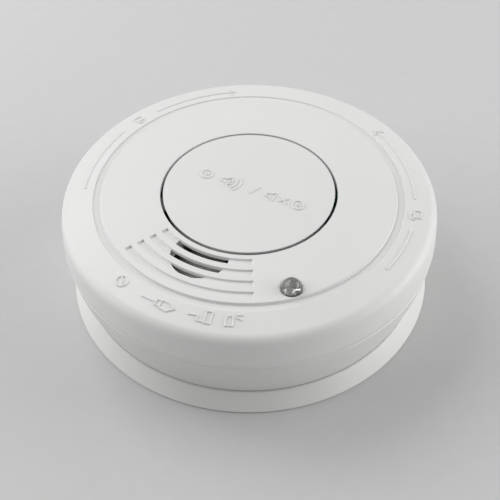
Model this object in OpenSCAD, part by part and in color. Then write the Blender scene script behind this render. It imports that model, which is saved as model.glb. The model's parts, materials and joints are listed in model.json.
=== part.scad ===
// Ceiling smoke alarm: mounting base, twist-off head with cover and test button,
// 9 V block battery, sounder, optical smoke chamber and circuit board.
// Millimetres. +Z is up, the origin is the middle of the base's underside, -Y is the front.

/* [Overall] */
// Diameter of the front cover at its rounded rim
cover_d = 101; // [96:0.5:122]
// How far the cover's side stands out past the rim, on the radius
cover_flare = 0.7; // [0.5:0.1:1]
// How far the mounting base stands out past the cover's rim, on the radius
base_overhang = 0.4; // [0:0.1:2]
// Height of the mounting base
base_h = 4.7; // [4.4:0.1:7]
// Open seam between the base and the head
seam_gap = 0.35; // [0.3:0.05:0.6]
// Height of the back housing, from the seam to the parting line
back_h = 13.95; // [12.5:0.05:15.5]
// Height of the cover, from the parting line to its raised centre
cover_h = 11.4; // [10.5:0.05:14]

/* [Shell walls] */
// Side wall of the cover and the back housing
side_wall = 1.8; // [1.4:0.1:2.2]
// Top of the cover
cover_top_t = 1.8; // [1.4:0.1:2.2]
// Floor of the back housing
floor_t = 1.6; // [1.2:0.1:2]
// Floor and side of the mounting base
base_t = 1.6; // [1.2:0.1:1.8]
// Rounding of the cover's outer edge
edge_r = 2.9; // [1.5:0.1:3.4]

/* [Cover face] */
// Width of the outer band, from the raised centre to the rim's side
band_w = 10.7; // [9:0.1:12]
// Width of the ring channel around the raised centre
channel_w = 2.2; // [1.2:0.1:2.4]
// Depth of the ring channel below the raised centre
channel_depth = 0.7; // [0.6:0.05:1.4]
// Height of the raised pictograms
relief_h = 0.3; // [0.15:0.05:0.4]
// Stroke width of the pictograms
stroke = 0.45; // [0.3:0.05:0.6]
// Size of the pictograms on the outer band, against those on the button
band_sign_size = 1.2; // [1:0.05:1.25]

/* [Sound vents] */
// Inner radius of the first vent groove
vent_r = 25.4; // [25:0.1:26.5]
// Radial pitch of the vent grooves
vent_pitch = 3.6; // [3:0.1:3.8]
// Width of one vent groove
vent_w = 1.85; // [1.2:0.05:2.2]
// Depth of one vent groove
vent_depth = 0.5; // [0.4:0.1:1]
// Thickness of the ribs between the open vents
vent_rib_t = 1.1; // [0.8:0.1:1.4]
// Number of vent grooves
vent_count = 4; // [2:1:4]
// Angle where the grooves begin
vent_from = -146.7; // [-150:0.1:-140]
// Angle where the grooves end
vent_to = -88.7; // [-92:0.1:-86]

/* [Test button] */
// Diameter of the test button
button_d = 46.4; // [40:0.2:47]
// Gap between the button and its hole in the cover
button_gap = 0.75; // [0.4:0.05:0.8]
// How far the button stands proud of the cover
button_proud = 0.1; // [0:0.1:1]
// Thickness of the button's disc
button_t = 1.6; // [1.2:0.1:2]
// Travel of the button
button_travel = 1.2; // [0.8:0.1:1.4]

/* [Battery] */
// Length of the 9 V block battery over its terminals
battery_l = 48.5; // [46.5:0.1:50]
// Width of the battery
battery_w = 26.5; // [24.5:0.1:27]
// Thickness of the battery
battery_t = 17.5; // [15.5:0.1:18.5]
// Clearance around the battery in its bay
battery_gap = 0.4; // [0.3:0.05:0.8]
// How far the battery stands out of the back housing, to be gripped
battery_grip = 0.75; // [0:0.05:1]

/* [Circuit board] */
// Radius left between the board's edge and the side of the cover's rim
board_inset = 6.5; // [5:0.5:9]
// Thickness of the board
board_t = 1.6; // [1:0.1:1.8]
// Distance of the board screws from the middle
board_screw_x = 37; // [36:0.5:38]

/* [Sounder] */
// Distance of the sounder from the middle
horn_dist = 26.7; // [26:0.1:27.5]
// Direction of the sounder from the middle
horn_angle = -118.4; // [-121:0.1:-116]
// Radius of the sound opening
horn_mouth_r = 7.6; // [5:0.1:8]
// Radius of the sounder's body
horn_r = 11; // [10:0.1:11.4]

/* [Indicator light] */
// Diameter of the indicator LED
led_d = 5; // [4:0.1:5.2]
// Position of the LED, to the right
led_x = 10; // [9:0.5:12]
// Position of the LED, to the back
led_y = -35; // [-35.5:0.5:-34]
// How far the LED's dome stands above the cover
led_proud = 2.6; // [2:0.1:3]

/* [Smoke chamber] */
// Radius of the smoke chamber
chamber_r = 14; // [12:0.2:14.4]
// Height of the smoke chamber
chamber_h = 12.5; // [11:0.1:13]
// Number of light-trap vanes
vane_count = 20; // [12:1:24]

/* [Mounting] */
// Spacing of the two screw slots and of the two round holes
screw_spacing = 74; // [72:0.5:75]
// Width of a screw slot and diameter of a round screw hole
screw_hole_d = 4.4; // [3.5:0.1:5]
// End-to-end length of a screw slot
slot_l = 7; // [5.5:0.5:7.5]
// Diameter of the base's middle opening
opening_d = 64; // [60:1:65]
// Turn from locked to released
twist_angle = 21; // [18:1:24]
// Half the angle that one bayonet foot covers
foot_half = 8; // [6:1:9]

/* [Case screws] */
// Distance of the four case screws from the side of the cover's rim
boss_inset = 10.5; // [9.5:0.5:11]
// Radius of a case screw's shank
screw_r = 1.4; // [1.1:0.1:1.5]

/* [Hidden] */
$fn = 72;
eps = 0.01;
cut = 1;

// Radii of the shells
cover_r = cover_d / 2;
base_r = cover_r + base_overhang;
plateau_r = cover_r - band_w;
channel_r = plateau_r + channel_w;
base_lean = 3.1;
back_lean = 3.5;
back_belly = 0.5;
cover_wide_r = cover_r + cover_flare;
cover_foot_r = cover_wide_r - 0.4;
back_top_r = cover_wide_r - 0.2;
back_bottom_r = back_top_r - back_lean;

// Levels, from the base's underside up
z_back = base_h + seam_gap;
z_floor = z_back + floor_t;
z_part = z_back + back_h;
z_top = z_part + cover_h;
z_under = z_top - cover_top_t;
z_rim = z_top - 1.1;
z_wide = z_rim - edge_r;
z_battery = z_back - battery_grip;
// The board lies above the battery and above the smoke chamber, whichever is higher
z_board = max(z_battery + battery_t + 0.2, z_floor + chamber_h + 0.5);
z_board_top = z_board + board_t;
z_button = z_top + button_proud;
z_bay_top = z_board - 0.5;

// Bayonet: a ledge on the base, and feet on the head that reach under it
ledge_ri = base_r - 7.3;
ledge_t = 1.4;
foot_gap = 0.4;
foot_t = 0.9;
foot_reach = 2.6;
stem_t = 1.4;
foot_z = base_h - ledge_t - 0.5 - foot_t;
stop_gap = 0.5;
stop_w = 2.5;
foot_angles = [0, 90, 180, 270];

// Case screws
boss_r = 4.2;
cover_boss_r = 3.4;
boss_dist = cover_r - boss_inset;
boss_angles = [45, 135, 225, 315];
z_boss_joint = z_part - 2.6;
screw_head_r = 2.8;
screw_head_h = 1.7;
z_screw_seat = z_back + 2.6;
screw_tip = z_board_top + 2;

// Battery, its bay and its contacts
bay_wall = 1.2;
bay_x0 = -battery_l / 2 - battery_gap;
bay_x1 = battery_l / 2 + 1.35;
bay_y = battery_w / 2 + battery_gap;
snap_h = 2.1;
snap_pitch = 12.7;
plate_t = 1;
contact_t = 0.4;
contact_w = 5;

// Battery-missing flag, hinged beside the bay
flag_x = 12;
flag_w = 9.4;
flag_ear = 1.4;
flag_pin_r = 0.8;
flag_play = 0.05;
flag_hub_r = 1.8;
flag_y = -(bay_y + 1.95);
flag_z = z_floor + 2.35;
flag_arm = z_board - flag_z - 2.5;
flag_lean = 6;
flag_ear_x = flag_w / 2 + 0.3;
flag_hub_w = 5.6;

// Test button
button_r = button_d / 2;
hole_r = button_r + button_gap;
skirt_t = 1.1;
skirt_r = button_r - 0.5;
flange_t = 0.3;
z_skirt = z_button - button_t - 1.2;
hook_angles = [62, 182, 302];
hook_half = 6;
hook_reach = 2;
z_hook = z_under - 1.5;
pill_t = 0.6;
pad_t = 0.1;
z_pill = z_board_top + pad_t + button_travel + 0.05;
post_r = 3;
spring_r = 4.2;
spring_wire = 0.25;

// Sounder
horn_x = horn_dist * cos(horn_angle);
horn_y = horn_dist * sin(horn_angle);
z_horn_top = z_skirt - button_travel - 0.5;
z_horn_bottom = z_board + 0.2;
horn_wall = 0.9;
piezo_t = 0.2;

// Smoke chamber
chamber_y = bay_y + bay_wall + chamber_r + 0.55;
z_chamber = z_board - chamber_h;
chamber_base_t = 1.4;
chamber_floor_t = 1.2;
screen_t = 0.3;
holder_angles = [-20, 110];
holder_l = 5.2;
holder_w = 6.4;
optic_r = chamber_r - 3.5;
z_optic = z_chamber + 6.2;

// Indicator LED
led_r = led_d / 2;
z_led_tip = z_top + led_proud;
led_flange_r = led_r + 0.4;

// ---------- helpers ----------

// A ring between two radii
module ring(ri, ro, h) {
    difference() {
        cylinder(r = ro, h = h);
        translate([0, 0, -cut]) cylinder(r = ri, h = h + 2 * cut);
    }
}

// A sector of a ring, between two angles
module sector(ri, ro, h, from, to) {
    rotate([0, 0, from]) rotate_extrude(angle = to - from) translate([ri, 0]) square([ro - ri, h]);
}

// A box from its low corner to its high corner
module span(low, high) {
    translate(low) cube(high - low);
}

// Copies at each angle, at a distance from the middle
module around(angles, dist = 0) {
    for (a = angles) rotate([0, 0, a]) translate([dist, 0, 0]) children();
}

// Corners of an arc that rounds the cover's edge
function arc(cx, cy, r, from, to, n) =
    [for (i = [0:n]) [cx + r * cos(from + (to - from) * i / n), cy + r * sin(from + (to - from) * i / n)]];

// A coil spring along +Z, from z = 0 to z = h, as one closed mesh
module coil(r, wire, h, turns, per_turn = 20, sides = 8) {
    n = turns * per_turn;
    rise = (h - 2 * wire) / n;
    points = [for (i = [0:n]) for (j = [0:sides - 1])
        let (a = 360 * i / per_turn, b = 360 * j / sides)
        [(r + wire * cos(b)) * cos(a), (r + wire * cos(b)) * sin(a), wire + rise * i + wire * sin(b)]];
    walls = [for (i = [0:n - 1]) for (j = [0:sides - 1])
        let (k = (j + 1) % sides)
        [i * sides + j, i * sides + k, (i + 1) * sides + k, (i + 1) * sides + j]];
    first = [[for (j = [0:sides - 1]) sides - 1 - j]];
    last = [[for (j = [0:sides - 1]) n * sides + j]];
    polyhedron(points, concat(walls, first, last));
}

// ---------- pictograms, drawn flat ----------

// A stroke between two points, with round ends
module line(a, b, w = stroke) {
    d = b - a;
    translate(a) rotate(atan2(d[1], d[0])) {
        translate([0, -w / 2]) square([norm(d), w]);
        circle(d = w, $fn = 16);
        translate([norm(d), 0]) circle(d = w, $fn = 16);
    }
}

// A curved stroke about the middle, between two angles
module curve(r, from, to, w = stroke) {
    rotate_pie(from, to, r + w) difference() {
        circle(r = r + w / 2);
        circle(r = r - w / 2);
    }
}

// Keeps what lies between two angles less than 180 degrees apart
module rotate_pie(from, to, r) {
    mid = (from + to) / 2;
    far = 2 * r;
    intersection() {
        children();
        polygon([[0, 0], far * [cos(from), sin(from)], far * [cos(mid), sin(mid)],
            far * [cos(to), sin(to)]]);
    }
}

// Horn with a cone, for the sounder
module horn_sign() {
    square([1, 1.3], center = true);
    polygon([[0.5, -0.65], [2, -1.7], [2, 1.7], [0.5, 0.65]]);
}

// Sound waves beside the horn
module waves_sign() {
    for (r = [1.6, 2.8, 4]) curve(r, -42, 42);
}

// Cross beside a silenced horn
module cross_sign(s = 1.1) {
    line([-s, -s], [s, s]);
    line([-s, s], [s, -s]);
}

// Finger-press target: a ring and a dot
module press_sign() {
    difference() {
        circle(r = 1.8);
        circle(r = 1.8 - stroke);
    }
    circle(r = 0.6);
}

// Prohibition ring
module forbidden_sign() {
    difference() {
        circle(r = 1.5);
        circle(r = 1.5 - stroke);
    }
    line([-0.9, 0.9], [0.9, -0.9]);
}

// Paint brush
module brush_sign() {
    line([-4, 0], [-0.6, 0], 0.6);
    translate([-0.5, -0.7]) square([1, 1.4]);
    polygon([[0.8, -1], [2.6, -1.3], [4, 0.1], [2.6, 1.1], [0.8, 1]]);
}

// Paint roller
module roller_sign() {
    line([-2.6, 0], [-0.6, 0], 0.6);
    line([-0.6, 0], [-0.6, -1.2]);
    line([-0.6, -1.2], [0.5, -1.2]);
    translate([0.8, -1.5]) square([1.5, 3]);
}

// Spray can with its mist
module spray_sign() {
    translate([-1.2, -1.5]) square([1.7, 2.1]);
    translate([-0.8, 0.8]) square([0.9, 0.7]);
    for (y = [0.5, 1.1]) line([0.9, y], [2.2, y + 0.4 * (y - 0.8)], stroke);
}

// Padlock, closed or open
module lock_sign(open = false) {
    translate([-1.2, -1.5]) square([2.4, 1.7]);
    translate([open ? -0.9 : 0, 0.2]) difference() {
        intersection() {
            circle(r = 1.15);
            translate([-2, 0]) square([4, 2]);
        }
        circle(r = 1.15 - stroke);
    }
}

// Arrow head that points along +X
module head_sign() {
    line([-1.4, 1.3], [0, 0]);
    line([-1.4, -1.3], [0, 0]);
}

band_mid_r = channel_r + 2.6;

// Places a sign on the outer band, its top towards the middle
module on_band(a) {
    rotate(a + 90) translate([0, -band_mid_r]) scale(band_sign_size) children();
}

// Everything that is raised on the outer band
module band_signs() {
    on_band(-135.2) forbidden_sign();
    on_band(-120) brush_sign();
    on_band(-105.5) roller_sign();
    on_band(-96) spray_sign();
    curve(band_mid_r, -40.6, -20);
    on_band(-12.5) lock_sign(open = true);
    curve(band_mid_r, -5, 33.5);
    on_band(34) head_sign();
    on_band(94) mirror([1, 0]) head_sign();
    curve(band_mid_r, 94.5, 127);
    on_band(135) lock_sign();
    curve(band_mid_r, 144, 177);
}

// Everything that is raised on the test button
module button_signs() {
    translate([0.8, 0.1]) rotate(-28) {
        translate([-13.8, 0]) press_sign();
        translate([-8.6, 0]) horn_sign();
        translate([-7.6, 0]) waves_sign();
        line([0.2, -1.7], [1.6, 1.7]);
        translate([5, 0]) horn_sign();
        translate([9.6, 0]) cross_sign();
        translate([13.8, 0]) press_sign();
    }
}

// ---------- mounting base ----------

// Outer outline and inside of the base, as one ring profile
module base_profile() {
    lip = 0.4;
    inner_top = base_r - base_lean - base_t;
    polygon([[opening_d / 2, 0], [base_r - lip, 0], [base_r, lip], [base_r - base_lean + 0.15, base_h - 0.15],
        [base_r - base_lean - 0.15, base_h], [ledge_ri, base_h], [ledge_ri, base_h - ledge_t],
        [inner_top + 0.9, base_h - ledge_t], [base_r - base_t - 0.4, base_t], [opening_d / 2 + 1.4, base_t],
        [opening_d / 2 + 1.4, base_h - 1.1], [opening_d / 2, base_h - 1.1]]);
}

module mounting_base() {
    rib_angles = [for (i = [0:7]) 22.5 + 45 * i];
    rib_end = ledge_ri - foot_gap - stem_t - 0.6;
    color("whitesmoke") difference() {
        union() {
            rotate_extrude() base_profile();
            around(rib_angles) span([opening_d / 2 + 0.8, -0.6, eps], [rib_end, 0.6, base_h - 1.7]);
            // Stops that end the twist both ways
            for (a = foot_angles) {
                sector(ledge_ri, ledge_ri + 3.6, base_h - ledge_t / 2,
                    a - foot_half - stop_gap - stop_w, a - foot_half - stop_gap);
                sector(ledge_ri, ledge_ri + 3.6, base_h - ledge_t / 2,
                    a + twist_angle + foot_half + stop_gap, a + twist_angle + foot_half + stop_gap + stop_w);
            }
        }
        // Notches that let the feet through the ledge
        for (a = foot_angles) translate([0, 0, base_h - ledge_t - 0.2])
            sector(ledge_ri - cut, ledge_ri + foot_reach + 0.6, ledge_t + 1,
                a + twist_angle - foot_half - 0.45, a + twist_angle + foot_half + 0.45);
        // Screw slots along X and round screw holes along Y
        for (s = [-1, 1]) {
            translate([s * screw_spacing / 2, 0, -cut]) {
                for (t = [-1, 1]) translate([t * (slot_l - screw_hole_d) / 2, 0, 0])
                    cylinder(d = screw_hole_d, h = base_t + 2 * cut);
                translate([-(slot_l - screw_hole_d) / 2, -screw_hole_d / 2, 0])
                    cube([slot_l - screw_hole_d, screw_hole_d, base_t + 2 * cut]);
            }
            translate([0, s * screw_spacing / 2, -cut]) cylinder(d = screw_hole_d, h = base_t + 2 * cut);
        }
    }
}

// ---------- back housing ----------

module back_profile() {
    lip_ro = cover_foot_r - side_wall - 0.2;
    // The side is a shallow convex curve
    side = [for (f = [0:0.2:1]) [back_bottom_r + back_lean * f + 4 * back_belly * f * (1 - f),
        z_back + 0.1 + (back_h - 0.3) * f]];
    polygon(concat([[0, z_back], [back_bottom_r - 0.1, z_back]], side,
        [[back_top_r - 0.2, z_part], [lip_ro, z_part], [lip_ro, z_part + 1.4], [lip_ro - 0.8, z_part + 1.4],
            [lip_ro - 0.8, z_part - 1.5], [back_bottom_r - side_wall, z_floor], [0, z_floor]]));
}

// Walls around the battery, with the flag's window in the front one
module battery_bay() {
    difference() {
        span([bay_x0 - bay_wall, -bay_y - bay_wall, z_back], [bay_x1 + bay_wall, bay_y + bay_wall,
            z_bay_top]);
        span([bay_x0, -bay_y, z_back - cut], [bay_x1, bay_y, z_bay_top + cut]);
        span([flag_x - flag_ear_x, -bay_y - bay_wall - cut, z_floor],
            [flag_x + flag_ear_x, -bay_y + cut, z_bay_top + cut]);
    }
}

// Ears that hold the flag's pin
module flag_ears() {
    for (s = [-1, 1]) {
        x0 = flag_x + (s < 0 ? -flag_ear_x - flag_ear : flag_ear_x);
        span([x0, flag_y - 2.2, z_floor - eps], [x0 + flag_ear, -bay_y - eps, flag_z + 2.2]);
    }
}

module back_housing() {
    color("whitesmoke") difference() {
        union() {
            rotate_extrude() back_profile();
            battery_bay();
            flag_ears();
            around(boss_angles, boss_dist) translate([0, 0, z_back]) cylinder(r = boss_r,
                h = z_boss_joint - z_back);
            around([0, 180], board_screw_x) translate([0, 0, z_back]) cylinder(r = 3, h = z_board - z_back);
            // Bayonet feet
            for (a = foot_angles) {
                translate([0, 0, foot_z]) sector(ledge_ri - foot_gap - stem_t, ledge_ri - foot_gap,
                    z_back + 0.5 - foot_z, a - foot_half, a + foot_half);
                translate([0, 0, foot_z]) sector(ledge_ri - foot_gap - stem_t, ledge_ri + foot_reach,
                    foot_t, a - foot_half, a + foot_half);
            }
        }
        // Battery opening and a finger notch at its end
        span([bay_x0, -bay_y, z_back - cut], [bay_x1, bay_y, z_floor + cut]);
        translate([bay_x0, 0, z_back - cut]) cylinder(r = 7, h = 6 + cut);
        // Case screw and board screw holes
        around(boss_angles, boss_dist) {
            translate([0, 0, z_back - cut]) cylinder(r = screw_head_r + 0.3, h = z_screw_seat - z_back + cut);
            translate([0, 0, z_back]) cylinder(r = screw_r + 0.3, h = z_boss_joint);
        }
        around([0, 180], board_screw_x) translate([0, 0, z_board - 8]) cylinder(r = 1.1, h = 10);
        // Flag pin
        translate([flag_x - 20, flag_y, flag_z]) rotate([0, 90, 0]) cylinder(r = flag_pin_r, h = 40);
        // Smoke inlets at the rear
        around([for (a = [50:8:130]) a])
            span([back_bottom_r - 6, -1.1, z_floor + 2.8], [back_top_r + 2, 1.1, z_part - 2]);
    }
}

// ---------- cover ----------

module cover_profile() {
    wall_r = cover_foot_r - side_wall;
    round_edge = arc(cover_r - edge_r, z_wide, edge_r, 0, 90, 8);
    polygon(concat([[wall_r, z_part], [cover_foot_r - 0.1, z_part], [cover_foot_r, z_part + 0.1],
        [cover_wide_r, z_part + 1.6]], round_edge,
        [[channel_r, z_top - 0.4], [channel_r - 0.1, z_top - channel_depth],
            [plateau_r + 0.1, z_top - channel_depth], [plateau_r, z_top - 0.15], [plateau_r - 0.15, z_top],
            [hole_r + 0.15, z_top], [hole_r, z_top - 0.15], [hole_r, z_under], [plateau_r - 1.4, z_under],
            [plateau_r - 0.6, z_under - 1.2], [channel_r + 1, z_under - 1.2],
            [cover_r - edge_r - 1, z_rim - side_wall],
            [cover_r - side_wall, z_wide - 0.4]]));
}

// Thin band that follows the slope of the outer band, for raised signs
module relief_band() {
    slope = (z_rim - (z_top - 0.4)) / (cover_r - edge_r - channel_r);
    ri = channel_r + 0.4;
    ro = cover_r - edge_r - 0.1;
    zi = z_top - 0.4 + slope * (ri - channel_r);
    zo = z_top - 0.4 + slope * (ro - channel_r);
    rotate_extrude() polygon([[ri, zi - 0.4], [ro, zo - 0.4], [ro, zo + relief_h], [ri, zi + relief_h]]);
}

module cover() {
    color("white") difference() {
        union() {
            rotate_extrude() cover_profile();
            intersection() {
                relief_band();
                translate([0, 0, z_rim - 3]) linear_extrude(6) band_signs();
            }
            around(boss_angles, boss_dist) translate([0, 0, z_boss_joint])
                cylinder(r = cover_boss_r, h = z_top - 1.5 - z_boss_joint);
            // Collar that leads the sound to the grooves
            difference() {
                translate([horn_x, horn_y, z_horn_top + 0.2])
                    cylinder(r = horn_mouth_r + 1.3, h = z_under - z_horn_top + 0.3);
                translate([horn_x, horn_y, z_horn_top - cut]) cylinder(r = horn_mouth_r,
                    h = z_under - z_horn_top + cut);
                translate([0, 0, z_part]) cylinder(r = hole_r + 0.6, h = cover_h - cover_top_t - eps);
                translate([0, 0, z_part]) cylinder(r = hole_r, h = cover_h + cut);
            }
        }
        // Vent grooves, open where they cross the sounder's mouth
        for (i = [0:vent_count - 1]) {
            ri = vent_r + vent_pitch * i;
            translate([0, 0, z_top - vent_depth]) sector(ri, ri + vent_w, vent_depth + cut, vent_from,
                vent_to);
            intersection() {
                translate([0, 0, z_under - cut])
                    sector(ri, ri + vent_w, cover_top_t + 2 * cut, vent_from, vent_to);
                translate([horn_x, horn_y, z_under - cut]) cylinder(r = horn_mouth_r,
                    h = cover_top_t + 2 * cut);
            }
        }
        // Pocket over the sounder's mouth, which leaves thin ribs between the vents
        translate([horn_x, horn_y, z_under - cut])
            cylinder(r = horn_mouth_r, h = cover_top_t - vent_rib_t + cut);
        // LED hole with a countersink
        translate([led_x, led_y, z_part]) cylinder(r = led_r + 0.1, h = cover_h + cut);
        translate([led_x, led_y, z_top - 0.45]) cylinder(r1 = led_r + 0.1, r2 = led_r + 0.6, h = 0.5);
        // Case screw pilot holes
        around(boss_angles, boss_dist) translate([0, 0, z_boss_joint - cut])
            cylinder(r = screw_r, h = screw_tip + 0.5 - z_boss_joint + cut);
    }
}

// ---------- test button ----------

module test_button() {
    color("ghostwhite") {
        rotate_extrude() polygon([[0, z_button - button_t], [skirt_r - skirt_t, z_button - button_t],
            [skirt_r - skirt_t, z_skirt], [skirt_r, z_skirt], [skirt_r, z_button - flange_t - 0.6],
            [button_r, z_button - flange_t], [button_r, z_button - 0.15], [button_r - 0.15, z_button],
            [0, z_button]]);
        translate([0, 0, z_button - eps]) linear_extrude(relief_h - 0.05) button_signs();
        translate([0, 0, z_pill + pill_t]) cylinder(r = post_r, h = z_button - 0.5 - z_pill - pill_t);
        for (a = hook_angles) {
            translate([0, 0, z_hook]) sector(skirt_r - 0.9, skirt_r, z_skirt + 0.5 - z_hook,
                a - hook_half, a + hook_half);
            translate([0, 0, z_hook]) sector(skirt_r - 0.9, button_r + hook_reach, 1.1, a - hook_half,
                a + hook_half);
            rotate([0, 0, a]) span([post_r - 0.5, -0.5, z_skirt], [skirt_r - 0.5, 0.5, z_button - 0.5]);
        }
    }
}

module contact_pill() {
    color("dimgray") translate([0, 0, z_pill]) cylinder(r = post_r - 0.4, h = pill_t);
}

module return_spring() {
    color("silver") translate([0, 0, z_board_top + 0.05])
        coil(spring_r, spring_wire, z_skirt - z_board_top - 0.15, 4);
}

// ---------- indicator light ----------

module indicator_led() {
    z0 = z_led_tip - 8.7;
    color("gainsboro", 0.6) translate([led_x, led_y, 0]) rotate_extrude() polygon(concat(
        [[0, z0], [led_flange_r, z0], [led_flange_r, z0 + 1], [led_r, z0 + 1]],
        arc(0, z_led_tip - led_r, led_r, 0, 90, 12)));
}

module led_leads() {
    color("silver") for (s = [-1, 1])
        span([led_x + s * 1.27 - 0.25, led_y - 0.25, z_board_top], [led_x + s * 1.27 + 0.25,
            led_y + 0.25, z_led_tip - 8.7]);
}

// ---------- circuit board and what it carries ----------

module circuit_board() {
    color("seagreen") difference() {
        translate([0, 0, z_board]) cylinder(r = cover_r - board_inset, h = board_t);
        around(boss_angles, boss_dist) translate([0, 0, z_board - cut])
            cylinder(r = cover_boss_r + 0.4, h = board_t + 2 * cut);
        around(boss_angles, boss_dist + 5) translate([-5, -cover_boss_r - 0.4, z_board - cut])
            cube([12, 2 * cover_boss_r + 0.8, board_t + 2 * cut]);
        translate([horn_x, horn_y, z_board - cut]) cylinder(r = horn_r + 0.2, h = board_t + 2 * cut);
        around([0, 180], board_screw_x) translate([0, 0, z_board - cut]) cylinder(r = 1.3,
            h = board_t + 2 * cut);
    }
}

module controller_ic() {
    color("black") translate([13, 13, z_board_top + 0.15]) span([-5, -1.95, 0], [5, 1.95, 1.5]);
}

module ic_leads() {
    color("silver") translate([13, 13, z_board_top]) for (i = [0:7]) for (s = [-1, 1])
        span([1.27 * (i - 3.5) - 0.2, s > 0 ? 1.95 : -3, 0], [1.27 * (i - 3.5) + 0.2, s > 0 ? 3 : -1.95,
            0.9]);
}

module capacitors() {
    color("darkslateblue") for (p = [[-20, 24], [-36, 12]]) translate([p[0], p[1], z_board - 11])
        cylinder(r = 3.2, h = 11);
}

module resistors() {
    color("dimgray") for (p = [[-12, 8], [-12, 12], [-12, 16], [4, 19], [9, -14], [13, -14]])
        translate([p[0], p[1], z_board_top]) span([-1.6, -0.8, 0], [1.6, 0.8, 0.6]);
}

module horn_coil() {
    color("black") translate([35, 12, z_board - 7.5]) {
        cylinder(r = 4.6, h = 1.2);
        cylinder(r = 3.6, h = 7.5);
        translate([0, 0, 6.3]) cylinder(r = 4.6, h = 1.2);
    }
}

module test_pads() {
    color("gold") translate([0, 0, z_board_top]) {
        sector(0.5, 3, pad_t, 10, 170);
        sector(0.5, 3, pad_t, 190, 350);
    }
}

module battery_contacts() {
    x1 = bay_x1;
    z_mid = z_battery + battery_t / 2;
    color("silver") for (s = [-1, 1]) translate([0, s * snap_pitch / 2, 0]) {
        span([x1 - contact_t, -contact_w / 2, z_mid - 5], [x1, contact_w / 2, z_board]);
        intersection() {
            translate([x1 - contact_t + 1.35, -contact_w / 2, z_mid]) rotate([-90, 0, 0])
                cylinder(r = 2.05, h = contact_w);
            span([x1 - 4, -contact_w, z_mid - 5], [x1, contact_w, z_mid + 5]);
        }
    }
}

// ---------- sounder ----------

module horn_housing() {
    color("black") translate([horn_x, horn_y, 0]) difference() {
        union() {
            translate([0, 0, z_horn_bottom]) cylinder(r = horn_r, h = z_horn_top - 1 - z_horn_bottom);
            translate([0, 0, z_board_top]) cylinder(r = horn_r + 1, h = 0.7);
        }
        translate([0, 0, z_horn_bottom + 0.7]) cylinder(r = horn_r - horn_wall - 0.8, h = 10);
        translate([0, 0, z_board_top + 0.3]) cylinder(r = horn_r - horn_wall, h = 10);
    }
}

module piezo_plate() {
    color("goldenrod") translate([horn_x, horn_y, z_board_top + 0.3])
        cylinder(r = horn_r - horn_wall - 0.1, h = piezo_t);
}

module piezo_ceramic() {
    color("beige") translate([horn_x, horn_y, z_board_top + 0.3 + piezo_t]) cylinder(r = horn_mouth_r,
        h = 0.15);
}

module horn_cap() {
    z_joint = z_horn_top - 1;
    color("black") translate([horn_x, horn_y, 0]) difference() {
        union() {
            translate([0, 0, z_joint]) cylinder(r = horn_r, h = 1);
            translate([0, 0, z_board_top + 0.9]) cylinder(r = horn_r - horn_wall - 0.1,
                h = z_joint - z_board_top - 0.8);
        }
        translate([0, 0, z_board_top]) cylinder(r = horn_r - horn_wall - 1.3,
            h = z_joint - z_board_top + 0.2);
        translate([0, 0, z_joint - cut]) cylinder(r = horn_mouth_r - 1, h = 4);
    }
}

// ---------- optical smoke chamber ----------

module chamber_base() {
    color("black") translate([0, chamber_y, 0]) {
        translate([0, 0, z_board - chamber_base_t]) cylinder(r = chamber_r, h = chamber_base_t);
        for (a = holder_angles) rotate([0, 0, a]) difference() {
            span([optic_r - holder_l, -holder_w / 2, z_optic - 3.2],
                [optic_r, holder_w / 2, z_board - chamber_base_t + eps]);
            translate([0, 0, z_optic]) rotate([0, 90, 0]) cylinder(r = 2.6, h = chamber_r);
        }
    }
}

module chamber_cap() {
    color("black") translate([0, chamber_y, z_chamber]) {
        cylinder(r = chamber_r, h = chamber_floor_t);
        for (i = [0:vane_count - 1]) {
            a = 360 * (i + 0.5) / vane_count;
            rotate([0, 0, a]) translate([chamber_r - 1.9, 0, 0]) rotate([0, 0, 35])
                translate([-0.9, -0.4, 0]) cube([1.9, 0.8, chamber_h - chamber_base_t - 0.1]);
        }
    }
}

module insect_screen() {
    windows = 30;
    color("silver") translate([0, chamber_y, z_chamber + chamber_floor_t]) difference() {
        ring(chamber_r - screen_t, chamber_r, chamber_h - chamber_floor_t - chamber_base_t);
        for (i = [0:windows - 1]) rotate([0, 0, 360 * (i + 0.5) / windows])
            span([chamber_r - 1, -0.95, 0.8], [chamber_r + 1, 0.95,
                chamber_h - chamber_floor_t - chamber_base_t - 0.8]);
    }
}

// A lensed part that looks along +X from x = 0
module optic(r, l) {
    rotate([0, 90, 0]) rotate_extrude() polygon(concat([[0, 0], [r, 0]], arc(0, l - r, r, 0, 90, 8)));
}

module ir_emitter() {
    color("lightsteelblue") translate([0, chamber_y, z_optic]) rotate([0, 0, holder_angles[0]])
        translate([optic_r, 0, 0]) mirror([1, 0, 0]) optic(2.5, 5);
}

module photodiode() {
    color("darkslategray") translate([0, chamber_y, z_optic]) rotate([0, 0, holder_angles[1]])
        translate([optic_r, 0, 0]) mirror([1, 0, 0]) optic(2.5, 5);
}

// ---------- fasteners ----------

// A screw whose head's underside is at z = 0, pointing up, with a cross recess
module screw(r, l, head_r, head_h) {
    difference() {
        union() {
            translate([0, 0, -head_h]) cylinder(r = head_r, h = head_h);
            translate([0, 0, -eps]) cylinder(r = r, h = l - r + 2 * eps);
            translate([0, 0, l - r]) cylinder(r1 = r, r2 = 0.3, h = r);
        }
        for (a = [0, 90]) rotate([0, 0, a])
            span([-head_r * 0.6, -0.35, -head_h - cut], [head_r * 0.6, 0.35, -head_h * 0.45]);
    }
}

module case_screws() {
    color("silver") around(boss_angles, boss_dist) translate([0, 0, z_screw_seat])
        screw(screw_r, screw_tip - z_screw_seat, screw_head_r, screw_head_h);
}

module board_screws() {
    color("silver") around([0, 180], board_screw_x) translate([0, 0, z_board_top]) rotate([180, 0, 0])
        screw(1.1, 8, 2.3, 1.4);
}

// ---------- battery ----------

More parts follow.
